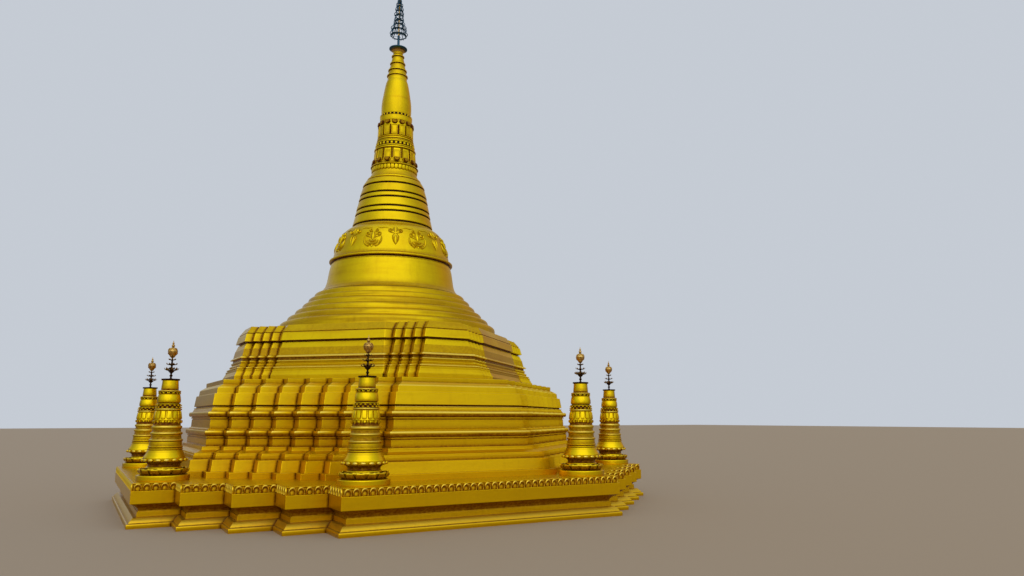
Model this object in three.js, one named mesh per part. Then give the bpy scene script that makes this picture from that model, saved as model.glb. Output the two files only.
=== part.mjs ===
// A golden stupa: a stepped cross platform, two redented terraces, round steps, a bell,
// a ringed cone, lotus bands, a bud and an umbrella, with eight small stupas on the platform.
// Millimetres, +Z up, origin on the ground at the centre, front face towards -Y.
import * as THREE from 'three';

// Platform: a cross whose corners step back four times.
const PLATFORM_ARM_HALF = 2620;
const PLATFORM_STEP = 667;
const PLATFORM_STEPS = 4;
const PLINTH_TOP = 255;
const RECESS_TOP = 385;
const FASCIA_TOP = 595;
const DECK_TOP = 720;

// Lower terrace: a square whose corners are cut by eight small right-angled steps.
const TIER1_FACE_HALF = 1284;
const TIER1_STEP = 330;
const TIER1_STEPS = 8;
const TIER1_BASE_TOP = 830;
const TIER1_LOWER_BAND_TOP = 1214;
const TIER1_LOWER_WALL_TOP = 1556;
const TIER1_UPPER_WALL_TOP = 1990;
const TIER1_CORNICE_TOP = 2240;
const TIER1_TOP = 2518;

// Upper terrace: four narrow faces, four steps beside each, and a slanting face between them.
const TIER2_FACE_HALF = 500;
const TIER2_DEPTH = 3300;
const TIER2_STEP = 148;
const TIER2_STEPS = 4;
const TIER2_FOOT_TOP = 2870;
const TIER2_WALL_TOP = 3310;
const TIER2_CORNICE_TOP = 3495;
const TIER2_TOP = 3660;

// Round steps: radius and height of the nose of each step, from the bottom up.
const STEP_NOSES = [[2468, 3773], [2305, 3927], [2145, 4081], [1991, 4228], [1864, 4375], [1739, 4498]];
const NOSE_DROP = 40;
const NOSE_RISE = 53;
const NOSE_ROUND = 25;
const STEPS_TOP = 4588;
const STEPS_PER_NODE = 2;

// Bell and ringed cone.
const BELL_FOOT_RADIUS = 1630;
const BELL_TOP = 5283;
const SHOULDER_TOP = 6200;
const CONE_LIPS = [[942, 6237], [892, 6487], [866, 6620], [821, 6849], [793, 6980], [737, 7212]];
const CONE_NECK = [670, 7383];
const LIP_OVERHANG = 42;
const LIP_UNDERCUT = 35;

// Lotus bands, bud and umbrella.
const LOTUS_FOOT = 7606;
const BEAD_FOOT = 8130;
const BEAD_TOP = 8446;
const UPPER_LOTUS_TOP = 9070;
const BUD_TOP = 10010;
const BUD_RINGS = [[256, 10110], [230, 10258], [190, 10443], [158, 10638]];
const BUD_RINGS_TOP = 10758;
const RING_OVERHANG = 22;
const RING_EDGE = 22;
const RING_HEIGHT = 32;
const RING_UNDERCUT = 16;
const CROWN_TOP = 10960;
const STEM_RADIUS = 24;
const UMBRELLA_RIMS = [[213, 11265], [192, 11410], [142, 11550], [117, 11668], [115, 11800], [96, 11930],
  [80, 12058], [48, 12166]];
const RIM_DEPTH = 60;
const UMBRELLA_TOP = 12330;

// Small stupas: two on each arm of the platform, near its ends.
const SMALL_ALONG = 2112;
const SMALL_OUT = 4776;
const SMALL_BODY_TOP = 1700;
const SMALL_TOP = 2405;

const ROUND_SIDES = 40;
const SPIRE_SIDES = 20;
const THIN_SIDES = 10;
const SMALL_SIDES = 12;

const GOLD = { color: 0xd2a414, roughness: 0.42, metalness: 0.35 };
const BRONZE = { color: 0x8a6a34, roughness: 0.5, metalness: 0.6 };
const STEEL = { color: 0x3a4c5c, roughness: 0.45, metalness: 0.7 };

const stupa = new THREE.Group();

function addPiece(name, geometry, finish, parent = stupa) {
  const mesh = new THREE.Mesh(geometry, new THREE.MeshStandardMaterial(finish));
  mesh.name = name;
  parent.add(mesh);
}

// Corner points of one quarter, turned four times to make the closed plan.
function quarterTurns(quarter) {
  const outline = [];
  for (let turn = 0; turn < 4; turn += 1) {
    for (const [x, y] of quarter) {
      const turned = [[x, y], [-y, x], [-x, -y], [y, -x]][turn];
      outline.push(new THREE.Vector2(...turned));
    }
  }
  return outline;
}

// Plan of a square with stepped corners, every face moved out by offset.
function steppedPlan(faceHalf, step, steps, offset) {
  const depth = faceHalf + steps * step;
  const quarter = [];
  for (let i = 0; i <= steps; i += 1) {
    if (i > 0) quarter.push([faceHalf + (i - 1) * step + offset, -depth + i * step - offset]);
    quarter.push([faceHalf + i * step + offset, -depth + i * step - offset]);
  }
  return quarterTurns(quarter);
}

// Plan of the upper terrace, whose stepped corners are joined by a slanting face.
function slantedPlan(offset) {
  const slant = offset * (Math.SQRT2 - 1);
  const out = TIER2_DEPTH + offset;
  const side = [];
  for (let i = 0; i <= TIER2_STEPS; i += 1) {
    if (i > 0) side.push([TIER2_FACE_HALF + (i - 1) * TIER2_STEP + offset, -out + i * TIER2_STEP]);
    side.push([TIER2_FACE_HALF + i * TIER2_STEP + offset, -out + i * TIER2_STEP]);
  }
  side[side.length - 1][0] += slant - offset;
  const mirrored = side.map(([x, y]) => [-y, -x]).reverse();
  return quarterTurns([...side, ...mirrored]);
}

// A closed solid through one plan outline after another; levels are [offset, height] pairs.
function courseGeometry(planAt, levels) {
  const positions = [];
  const faces = [];
  const first = planAt(levels[0][0]);
  const count = first.length;
  for (const [offset, height] of levels) {
    for (const point of planAt(offset)) positions.push(point.x, point.y, height);
  }
  for (let level = 0; level + 1 < levels.length; level += 1) {
    for (let i = 0; i < count; i += 1) {
      const a = level * count + i;
      const b = level * count + ((i + 1) % count);
      faces.push(a, b, b + count, a, b + count, a + count);
    }
  }
  const top = (levels.length - 1) * count;
  for (const [a, b, c] of THREE.ShapeUtils.triangulateShape(first, [])) faces.push(a, c, b);
  for (const [a, b, c] of THREE.ShapeUtils.triangulateShape(planAt(levels.at(-1)[0]), [])) {
    faces.push(top + a, top + b, top + c);
  }
  const geometry = new THREE.BufferGeometry();
  geometry.setAttribute('position', new THREE.Float32BufferAttribute(positions, 3));
  geometry.setIndex(faces);
  return geometry;
}

// A turned solid about +Z from [radius, height] pairs, closed onto the axis at both ends.
function turnedGeometry(profile, sides) {
  const outline = [[0, profile[0][1]], ...profile, [0, profile.at(-1)[1]]];
  const points = outline.map(([radius, height]) => new THREE.Vector2(radius, height));
  return new THREE.LatheGeometry(points, sides).rotateX(Math.PI / 2);
}

const platformPlan = (offset) => steppedPlan(PLATFORM_ARM_HALF, PLATFORM_STEP, PLATFORM_STEPS, offset);
const tier1Plan = (offset) => steppedPlan(TIER1_FACE_HALF, TIER1_STEP, TIER1_STEPS, offset);

function addPlatform() {
  addPiece('platform_plinth', courseGeometry(platformPlan, [
    [30, 0], [30, 74], [-12, 118], [-80, 156], [-120, 173], [-122, PLINTH_TOP]]), GOLD);
  addPiece('platform_recess', courseGeometry(platformPlan, [
    [-140, PLINTH_TOP], [-136, 306], [-60, 366], [-12, RECESS_TOP]]), GOLD);
  addPiece('platform_fascia', courseGeometry(platformPlan, [
    [0, RECESS_TOP], [0, FASCIA_TOP]]), GOLD);
  addPiece('platform_deck', courseGeometry(platformPlan, [
    [-38, FASCIA_TOP], [-38, 704], [-22, 704], [-22, DECK_TOP]]), GOLD);
}

function addLowerTerrace() {
  addPiece('tier1_base_band', courseGeometry(tier1Plan, [
    [500, DECK_TOP], [500, TIER1_BASE_TOP]]), GOLD);
  addPiece('tier1_lower_band', courseGeometry(tier1Plan, [
    [415, TIER1_BASE_TOP], [391, 1030], [345, 1030], [335, 1108], [310, 1144], [184, 1189],
    [181, TIER1_LOWER_BAND_TOP]]), GOLD);
  addPiece('tier1_lower_wall', courseGeometry(tier1Plan, [
    [181, TIER1_LOWER_BAND_TOP], [179, 1252], [106, 1260], [100, 1444], [130, 1456], [142, 1494],
    [130, 1532], [84, 1545], [84, TIER1_LOWER_WALL_TOP]]), GOLD);
  addPiece('tier1_upper_wall', courseGeometry(tier1Plan, [
    [84, TIER1_LOWER_WALL_TOP], [92, 1561], [52, 1589], [48, 1798], [90, 1810], [102, 1847],
    [90, 1884], [45, 1898], [14, 1962], [22, 1980], [-15, TIER1_UPPER_WALL_TOP]]), GOLD);
  addPiece('tier1_cornice', courseGeometry(tier1Plan, [
    [-15, TIER1_UPPER_WALL_TOP], [-15, 2008], [22, 2013], [-9, TIER1_CORNICE_TOP]]), GOLD);
  addPiece('tier1_top_courses', courseGeometry(tier1Plan, [
    [-50, TIER1_CORNICE_TOP], [-62, 2352], [-78, 2360], [-170, 2423], [-172, TIER1_TOP]]), GOLD);
}

function addUpperTerrace() {
  addPiece('tier2_foot', courseGeometry(slantedPlan, [
    [190, TIER1_TOP], [190, 2618], [150, 2690], [146, 2740], [132, 2780], [78, 2814],
    [88, 2860], [45, TIER2_FOOT_TOP]]), GOLD);
  addPiece('tier2_wall', courseGeometry(slantedPlan, [
    [45, TIER2_FOOT_TOP], [44, 2904], [62, 2920], [34, 2942], [34, 2992], [78, 3002],
    [78, 3038], [50, 3046], [-45, 3284], [-75, 3286], [-75, TIER2_WALL_TOP]]), GOLD);
  addPiece('tier2_cornice', courseGeometry(slantedPlan, [
    [-60, TIER2_WALL_TOP], [-60, 3326], [0, 3330], [-38, TIER2_CORNICE_TOP]]), GOLD);
  addPiece('tier2_top_course', courseGeometry(slantedPlan, [
    [-46, TIER2_CORNICE_TOP], [-54, 3516], [-148, TIER2_TOP]]), GOLD);
}

// Each node holds two rounded steps; a step has a short riser, a nose and a slope behind it.
function addRoundSteps() {
  const feet = STEP_NOSES.map(([radius, height]) => [radius, height - NOSE_DROP]);
  feet[0][1] = TIER2_TOP;
  feet.push([BELL_FOOT_RADIUS, STEPS_TOP]);
  for (let first = 0; first < STEP_NOSES.length; first += STEPS_PER_NODE) {
    const profile = [feet[first]];
    for (let i = first; i < first + STEPS_PER_NODE; i += 1) {
      const [radius, height] = STEP_NOSES[i];
      profile.push([radius, height], [radius - NOSE_ROUND, height + NOSE_RISE], feet[i + 1]);
    }
    addPiece(`round_steps_${first / STEPS_PER_NODE + 1}`, turnedGeometry(profile, ROUND_SIDES), GOLD);
  }
}

function addBell() {
  addPiece('bell_body', turnedGeometry([
    [BELL_FOOT_RADIUS, STEPS_TOP], [1585, 4630], [1534, 4685], [1497, 4751], [1466, 4866],
    [1452, 4963], [1425, 5143], [1392, 5276], [1372, BELL_TOP]], ROUND_SIDES), GOLD);
  addPiece('bell_shoulder', turnedGeometry([
    [1372, BELL_TOP], [1372, 5330], [1434, 5334], [1436, 5376], [1394, 5380], [1360, 5420], [1339, 5514],
    [1298, 5703], [1214, 5925], [1120, 6060], [1000, 6145], [945, 6190],
    [900, SHOULDER_TOP]], ROUND_SIDES), GOLD);
}

function addRingedCone() {
  const profile = [[900, SHOULDER_TOP]];
  CONE_LIPS.forEach(([radius, height], i) => {
    const [aboveRadius, aboveHeight] = i + 1 < CONE_LIPS.length ? CONE_LIPS[i + 1] : CONE_NECK;
    const inner = radius - LIP_OVERHANG;
    profile.push([inner, height - LIP_UNDERCUT], [inner, height], [radius, height]);
    profile.push([aboveRadius, aboveHeight - LIP_UNDERCUT]);
  });
  profile.push([632, 7366], [646, 7378], [638, 7412], [602, 7430], [560, 7505], [532, 7575],
    [520, LOTUS_FOOT]);
  addPiece('ringed_cone', turnedGeometry(profile, SPIRE_SIDES), GOLD);
}

function addLotusBands() {
  addPiece('lotus_band_lower', turnedGeometry([
    [512, LOTUS_FOOT], [556, 7640], [566, 7668], [545, 7725], [520, 7830], [485, 7900],
    [474, BEAD_FOOT]], SPIRE_SIDES), GOLD);
  addPiece('bead_band', turnedGeometry([
    [474, BEAD_FOOT], [486, 8145], [486, 8175], [452, 8225], [446, 8302], [462, 8310], [462, 8332],
    [445, 8400], [420, BEAD_TOP]], SPIRE_SIDES), GOLD);
  addPiece('lotus_band_upper', turnedGeometry([
    [420, BEAD_TOP], [415, 8500], [416, 8740], [430, 8850], [385, 8880], [391, 9002],
    [363, UPPER_LOTUS_TOP]], SPIRE_SIDES), GOLD);
}

function addBud() {
  addPiece('bud', turnedGeometry([
    [354, UPPER_LOTUS_TOP], [362, 9200], [362, 9330], [350, 9455], [313, 9697], [270, 9930],
    [238, BUD_TOP]], SPIRE_SIDES), GOLD);
  const rings = [[238, BUD_TOP]];
  BUD_RINGS.forEach(([radius, height]) => {
    const inner = radius - RING_OVERHANG;
    rings.push([inner, height - RING_UNDERCUT], [inner, height], [radius, height]);
    rings.push([radius, height + RING_EDGE], [inner, height + RING_HEIGHT]);
  });
  rings.push([116, 10715], [126, BUD_RINGS_TOP]);
  addPiece('bud_rings', turnedGeometry(rings, SPIRE_SIDES), GOLD);
  addPiece('crown_dish', turnedGeometry([
    [126, BUD_RINGS_TOP], [140, 10784], [206, 10834], [222, 10848], [222, 10870], [120, 10896],
    [50, 10930], [STEM_RADIUS, CROWN_TOP]], SPIRE_SIDES), BRONZE);
}

// Tiers of the umbrella hang as shallow cones on one stem.
function addUmbrella() {
  const profile = [[STEM_RADIUS, CROWN_TOP]];
  for (const [radius, height] of UMBRELLA_RIMS) {
    profile.push([STEM_RADIUS, height - RIM_DEPTH / 2], [radius, height - RIM_DEPTH], [radius, height]);
    profile.push([STEM_RADIUS, height + RIM_DEPTH / 2]);
  }
  profile.push([STEM_RADIUS, 12230], [30, 12260], [8, UMBRELLA_TOP]);
  addPiece('umbrella', turnedGeometry(profile, THIN_SIDES), STEEL);
}

const SMALL_BODY = [[424, 0], [424, 96], [268, 172], [286, 205], [260, 262], [380, 330], [350, 400],
  [276, 512], [268, 652], [280, 676], [244, 700], [244, 765], [268, 790], [234, 820], [258, 893],
  [228, 930], [235, 1015], [202, 1182], [222, 1200], [196, 1225], [200, 1340], [180, 1455], [166, 1500],
  [190, 1514], [158, 1545], [147, SMALL_BODY_TOP]];
const SMALL_FINIAL = [[168, SMALL_BODY_TOP], [170, 1728], [26, 1736], [26, 1800], [122, 1895], [122, 1915],
  [22, 1930], [22, 1960], [100, 1972], [100, 1990], [22, 2000], [22, 2050], [75, 2060], [75, 2075],
  [24, 2110], [90, 2200], [88, 2250], [26, 2340], [6, SMALL_TOP]];

function addSmallStupas() {
  const arms = [[0, -1], [1, 0], [0, 1], [-1, 0]];
  arms.forEach(([outX, outY], arm) => {
    for (const side of [-1, 1]) {
      const spot = new THREE.Group();
      const x = outX * SMALL_OUT - outY * side * SMALL_ALONG;
      const y = outY * SMALL_OUT + outX * side * SMALL_ALONG;
      spot.position.set(x, y, DECK_TOP);
      const number = 2 * arm + (side + 3) / 2;
      addPiece(`small_stupa_${number}`, turnedGeometry(SMALL_BODY, SMALL_SIDES), GOLD, spot);
      addPiece(`small_finial_${number}`, turnedGeometry(SMALL_FINIAL, THIN_SIDES), BRONZE, spot);
      stupa.add(spot);
    }
  });
}

addPlatform();
addLowerTerrace();
addUpperTerrace();
addRoundSteps();
addBell();
addRingedCone();
addLotusBands();
addBud();
addUmbrella();
addSmallStupas();

export default stupa;
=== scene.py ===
from math import ceil, cos, pi, radians, sin, sqrt

import bpy
import numpy as np
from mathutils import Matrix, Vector


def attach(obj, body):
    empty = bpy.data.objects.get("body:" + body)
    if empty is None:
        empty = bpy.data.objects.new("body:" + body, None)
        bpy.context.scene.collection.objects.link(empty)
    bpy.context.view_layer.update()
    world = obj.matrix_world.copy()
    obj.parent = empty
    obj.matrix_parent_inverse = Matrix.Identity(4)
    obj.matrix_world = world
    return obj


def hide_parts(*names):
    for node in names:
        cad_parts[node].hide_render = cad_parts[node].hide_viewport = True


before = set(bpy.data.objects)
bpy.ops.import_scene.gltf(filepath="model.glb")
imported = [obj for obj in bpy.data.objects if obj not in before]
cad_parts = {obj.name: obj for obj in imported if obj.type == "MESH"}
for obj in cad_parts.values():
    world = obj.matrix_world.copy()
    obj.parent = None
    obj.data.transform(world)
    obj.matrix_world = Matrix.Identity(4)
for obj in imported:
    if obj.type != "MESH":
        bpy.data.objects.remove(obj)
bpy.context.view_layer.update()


# Camera. It stands at a standing person's eye height, left of the middle of the front, and
# looks up until the tip of the umbrella touches the top of the picture.
def new_object(name, data):
    """An object that shows the data, put into the scene."""
    made = bpy.data.objects.new(name, data)
    bpy.context.scene.collection.objects.link(made)
    return made


lens = bpy.data.cameras.new("Camera")
lens.sensor_width = 36.0
lens.lens = 26.48
lens.shift_x = -0.0164
lens.shift_y = 0.003
lens.clip_end = 400.0
camera = new_object("Camera", lens)
camera.location = (-6.168, -16.765, 1.76)
camera.rotation_euler = (radians(99.612), 0.0, radians(-30.728))
bpy.context.scene.camera = camera


# Platform. Brick masonry under lime plaster, painted gold, on a cross plan whose corners step
# back four times: a plinth, a set-back course, a tall plain band, and the deck on its frieze.
PLATFORM_PLAN = (2.62, 0.667, 4)
PLINTH = [
    (0.026, 0.0, 0), (0.031, 0.03, 0.03), (0.03, 0.074, 0.03), (-0.002, 0.08, 0.003),
    (-0.002, 0.086, 0.003), (-0.02, 0.118, 0.03), (-0.068, 0.164, 0.01), (-0.092, 0.168, 0.003),
    (-0.12, 0.173, 0.003), (-0.122, 0.252, 0.006), (-0.14, 0.255, 0)]
RECESS = [
    (-0.14, 0.255, 0), (-0.142, 0.27, 0.004), (-0.136, 0.306, 0.03), (-0.06, 0.366, 0.02),
    (-0.012, 0.382, 0.004), (-0.01, 0.385, 0)]
FASCIA = [(-0.01, 0.385, 0), (0.0, 0.386, 0.003), (0.001, 0.592, 0.005), (-0.02, 0.595, 0)]
DECK = [
    (-0.025, 0.595, 0), (-0.038, 0.6, 0.003), (-0.038, 0.7, 0.004), (-0.022, 0.708, 0.004),
    (-0.022, 0.719, 0.005), (-0.04, 0.72, 0)]
NEARLY_HALF = 0.48
FINE_EASING = 0.01
EDGE_STRIP = 0.004
LEDGE_STRIP = 0.03
ARC_MIDDLE = 0.29
HOLLOW_GAIN = 1.6
# Inner corners of the stepped plans are darkened: dirt together with painted shade, and near-black painted
# shadow in the tightest.
CORNER_DIRT_AND_SHADE = 1.3
CORNER_DIRT_AND_SHADE_STARTS = 0.1


def eased(corners):
    """A chain of (across, up) points: each corner (across, up, easing) is rounded that far."""
    points = [Vector((across, up)) for across, up, _ in corners]
    chain = [points[0]]
    for i in range(1, len(points) - 1):
        here = points[i]
        easing = corners[i][2]
        if easing == 0:
            chain.append(here)
            continue
        back = points[i - 1] - here
        on = points[i + 1] - here
        start = here + back.normalized() * min(easing, back.length * NEARLY_HALF)
        end = here + on.normalized() * min(easing, on.length * NEARLY_HALF)
        bends = 2 if easing < FINE_EASING else 4
        for k in range(bends + 1):
            t = k / bends
            chain.append(start * (1 - t) ** 2 + here * 2 * t * (1 - t) + end * t ** 2)
    return np.array([*chain, points[-1]])


def spaced(chain, longest):
    """The same chain with more points: two close to the ends of each flat stretch, which keep
    its shading flat, and enough between them that none of its parts is longer than longest."""
    points = [chain[0]]
    for a, b in zip(chain[:-1], chain[1:]):
        length = np.linalg.norm(b - a)
        shares = [1.0]
        if length > 4 * EDGE_STRIP:
            strip = EDGE_STRIP / length
            parts = ceil(length / longest)
            shares = [strip, *(k / parts for k in range(1, parts)), 1 - strip, 1.0]
        points += [a + (b - a) * share for share in shares]
    return np.array(points)


def steps_along(chain):
    """How far along a chain each of its points lies."""
    return np.concatenate([[0], np.cumsum(np.linalg.norm(np.diff(chain, axis=0), axis=1))])


def hollows(chain, closed=False, reach=0.06):
    """How deep each point lies in a hollow of its chain, from 0 on open faces to 1 in a tight
    corner. The outside is on the right of the way that the chain runs."""
    run = np.vstack([chain, chain, chain, chain[:1]]) if closed else chain
    along = steps_along(run)
    first = len(chain) if closed else 0
    here = along[first:first + len(chain)]
    back, on = (np.stack([np.interp(here + side, along, run[:, k]) for k in (0, 1)], axis=1)
                for side in (-reach, reach))
    way = on - back
    right = np.stack([way[:, 1], -way[:, 0]], axis=1) / np.linalg.norm(way, axis=1)[:, None]
    sag = (((back + on) / 2 - chain) * right).sum(axis=1) / reach
    return np.clip(sag * HOLLOW_GAIN, 0, 1)


def stepped_side(face_half, depth, step, steps):
    """Corners of a plan from half of its front face out along its steps, each with the way that
    it moves as the faces move out."""
    side = [(face_half, -depth, 1, -1)]
    for i in range(1, steps + 1):
        side += [(face_half + (i - 1) * step, -depth + i * step, 1, -1),
                 (face_half + i * step, -depth + i * step, 1, -1)]
    return side


def quarter_turns(quarter):
    """The corners of one quarter of a plan turned four times about the middle."""
    corners = list(quarter)
    for _ in range(3 * len(quarter)):
        x, y, out_x, out_y = corners[-len(quarter)]
        corners.append((-y, x, -out_y, out_x))
    return np.array(corners)


def stepped_plan(face_half, step, steps):
    """A square whose own corners step back, anticlockwise from the front face."""
    return quarter_turns(stepped_side(face_half, face_half + steps * step, step, steps))


def plan_outline(corners, offset, corner_round=0.01, flank=0.046):
    """The plan moved out by offset, its outer corners rounded and its inner ones flanked. The
    points beside each corner keep the shading of the faces flat."""
    points = corners[:, :2] + corners[:, 2:] * offset
    outline = []
    for before, here, after in zip(np.roll(points, 1, 0), points, np.roll(points, -1, 0)):
        back = (before - here) / np.linalg.norm(before - here)
        on = (after - here) / np.linalg.norm(after - here)
        outer = on[0] * back[1] - on[1] * back[0] > 0
        if outer:
            outline += [here + back * (corner_round + EDGE_STRIP), here + back * corner_round,
                        here + (back + on) * corner_round * ARC_MIDDLE,
                        here + on * corner_round, here + on * (corner_round + EDGE_STRIP)]
        else:
            outline += [here + back * flank, here, here + on * flank]
    return np.array(outline)


def lofted(rings, hollow, hoop=False):
    """A closed mesh part through one ring of points after another: (points, faces, hollow)."""
    levels, count = rings.shape[:2]
    faces = []
    for level in range(levels if hoop else levels - 1):
        above = (level + 1) % levels
        for i in range(count):
            j = (i + 1) % count
            faces.append((level * count + i, level * count + j, above * count + j, above * count + i))
    if not hoop:
        faces += [tuple(range(count))[::-1], tuple(range((levels - 1) * count, levels * count))]
    return rings.reshape(-1, 3), faces, hollow.reshape(-1)


def dirt_shade_and_highlights(chain, dirt_shade_and_highlight_marks):
    """The hollows of an upright section, with stretches of it set one by one: each is its lowest
    and highest point and how much: 0 is clean, up to 1 dirt and painted shade, up to 2 a black
    painted shadow, and down to -1 a pale painted highlight."""
    hollow = hollows(chain)
    for low, high, much in dirt_shade_and_highlight_marks:
        hollow[(chain[:, 1] > low) & (chain[:, 1] < high)] = much
    return hollow


def course(plan, corners, dirt_shade_and_highlight_marks=(), longest=0.06):
    """Masonry that follows a stepped plan all round, with the given upright section."""
    chain = spaced(eased(corners), longest)
    chain = np.vstack([chain, chain[-1] - (LEDGE_STRIP, 0.0)])
    rings = np.array([[(x, y, up) for x, y in plan_outline(plan, across)] for across, up in chain])
    shade_dirt_and_highlight = dirt_shade_and_highlights(chain, dirt_shade_and_highlight_marks)[:, None]
    # Darkening of inner corners: dirt together with painted shade, black painted shadow where it passes 1.
    corner_dirt_and_shade = CORNER_DIRT_AND_SHADE * hollows(plan_outline(plan, 0.0), closed=True)[None, :]
    hollow = np.where(corner_dirt_and_shade > CORNER_DIRT_AND_SHADE_STARTS, np.maximum(shade_dirt_and_highlight, corner_dirt_and_shade), shade_dirt_and_highlight)
    hollow[-1] = shade_dirt_and_highlight[-1]
    return lofted(rings, hollow)


def new_mesh(name, points, faces, hollow):
    """A mesh whose points carry a hollow value: their depth in a hollow, overridden in places by a
    given mark. The finish turns it into dirt, painted shade, black painted shadow and pale painted
    highlights.
    """
    mesh = bpy.data.meshes.new(name)
    mesh.from_pydata(points.tolist(), [], faces)
    mesh.attributes.new("hollow", "FLOAT", "POINT").data.foreach_set("value", hollow.astype(np.float32))
    return mesh


def new_piece(name, parts, material, *nodes, slot="gold_paint", crease=35):
    """One finished piece from mesh parts, which stands for the named CAD nodes."""
    starts = np.cumsum([0] + [len(points) for points, _, _ in parts])
    faces = [tuple(i + int(start) for i in face)
             for start, (_, part_faces, _) in zip(starts, parts) for face in part_faces]
    mesh = new_mesh(name, np.concatenate([points for points, _, _ in parts]), faces,
                    np.concatenate([hollow for _, _, hollow in parts]))
    mesh.materials.append(material)
    mesh.shade_smooth()
    mesh.set_sharp_from_angle(angle=radians(crease))
    piece = new_object(name, mesh)
    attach(piece, "root")
    if nodes:
        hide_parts(*nodes)


def add_node(tree, kind, inputs=(), **settings):
    """A node of a tree; inputs are (socket, value or output socket to join it to) pairs."""
    node = tree.nodes.new(kind)
    for name, value in settings.items():
        setattr(node, name, value)
    for socket, value in inputs:
        if isinstance(value, bpy.types.NodeSocket):
            tree.links.new(value, node.inputs[socket])
        else:
            node.inputs[socket].default_value = value
    return node


def calc(tree, operation, *values, clamp=False):
    """The result of a Math node."""
    node = add_node(tree, "ShaderNodeMath", enumerate(values), operation=operation, use_clamp=clamp)
    return node.outputs[0]


def ramp(tree, value, low, high, start=0.0, end=1.0, kind="LINEAR"):
    """A value that goes from start to end while the given one goes from low to high."""
    return add_node(tree, "ShaderNodeMapRange", enumerate([value, low, high, start, end]),
                    interpolation_type=kind).outputs["Result"]


def blend(tree, share, first, second):
    """A colour between two others."""
    node = add_node(tree, "ShaderNodeMix", [(0, share), (6, first), (7, second)], data_type="RGBA")
    return node.outputs[2]


def noise(tree, place, scale, detail, roughness=0.5, stretch=None):
    """Cloudy noise from 0 to 1, drawn out along the axes if a stretch is given."""
    if stretch:
        place = add_node(tree, "ShaderNodeMapping", [("Vector", place), ("Scale", stretch)]).outputs[0]
    return add_node(tree, "ShaderNodeTexNoise", [
        ("Vector", place), ("Scale", scale), ("Detail", detail), ("Roughness", roughness)]).outputs["Fac"]


def new_group(name, kind, inputs, outputs):
    """A node group with named sockets; inputs are (label, type) or (label, type, value). Returns
    it with the sockets that give its inputs and those that take its outputs."""
    group = bpy.data.node_groups.new(name, kind)
    for label, socket, *value in inputs:
        made = group.interface.new_socket(label, in_out="INPUT", socket_type=f"NodeSocket{socket}")
        if value:
            made.default_value = value[0]
    for label, socket in outputs:
        group.interface.new_socket(label, in_out="OUTPUT", socket_type=f"NodeSocket{socket}")
    return group, group.nodes.new("NodeGroupInput").outputs, group.nodes.new("NodeGroupOutput").inputs


def weathering_group():
    """Dirt and painted shade in hollows, near-black painted shadow, pale painted highlights, dust,
    tone and unevenness of painted plaster or metal that stands in the rain, and a more orange tone lower
    down.
    """
    layers = ("Dirt And Shade", "Painted Shadow", "Dust", "Painted Highlight", "Tone", "Unevenness", "Towards Ground")
    group, given, result = new_group(
        "Weathering", "ShaderNodeTree",
        [("Hollow Dirt", "Float", 0.7), ("Streaks", "Float", 0.3), ("Smears", "Float", 0.0)],
        [(layer, "Float") for layer in layers])
    place = add_node(group, "ShaderNodeTexCoord").outputs["Object"]
    height = add_node(group, "ShaderNodeSeparateXYZ", [(0, place)]).outputs["Z"]
    patches = noise(group, place, 1.2, 6.0, 0.62)
    grain = noise(group, place, 22.0, 4.0)
    runs = noise(group, place, 1.6, 2.0, 0.6, stretch=(5.0, 5.0, 0.45))
    bands = noise(group, place, 1.0, 2.0, 0.6, stretch=(0.7, 0.7, 6.5))
    run_mask = ramp(group, runs, 0.5, 0.78, kind="SMOOTHSTEP")
    smear_mask = ramp(group, bands, 0.44, 0.66, kind="SMOOTHSTEP")
    # The hollow value of each point darkens it: dirt together with painted shade in hollows, under lips and
    # between parts.
    hollow = add_node(group, "ShaderNodeAttribute", attribute_name="hollow").outputs["Fac"]
    broken = calc(group, "MULTIPLY_ADD", grain, 1.1, 0.45)
    deep = calc(group, "MULTIPLY", calc(group, "MULTIPLY", hollow, broken), given["Hollow Dirt"])
    smeared = calc(group, "MULTIPLY_ADD", smear_mask, given["Smears"], deep)
    normal = add_node(group, "ShaderNodeNewGeometry").outputs["Normal"]
    upward = ramp(group, add_node(group, "ShaderNodeSeparateXYZ", [(0, normal)]).outputs["Z"], 0.3, 0.75)
    near_ground = ramp(group, height, 0.3, 0.5, 0.12, 0.0)
    for layer, value in zip(layers, [
            calc(group, "MULTIPLY_ADD", run_mask, given["Streaks"], smeared, clamp=True),
            # Hollow values past 1 paint a near-black shadow into undercuts, deep gaps and tight corners.
            calc(group, "SUBTRACT", hollow, 1.0, clamp=True),
            calc(group, "MULTIPLY", upward, near_ground),
            # Hollow values below 0 paint a pale highlight on torus tops, rims, beads and leaf tips.
            calc(group, "MULTIPLY", hollow, -1.0, clamp=True),
            calc(group, "MULTIPLY", calc(group, "ADD", patches, bands), 0.5),
            calc(group, "MULTIPLY_ADD", grain, 0.35, patches),
            # More orange gold lower down, fading out between 1.2 m and 3.6 m.
            ramp(group, height, 1.2, 3.6, 1.0, 0.0)]):
        group.links.new(value, result[layer])
    return group


weathering = weathering_group()


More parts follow.
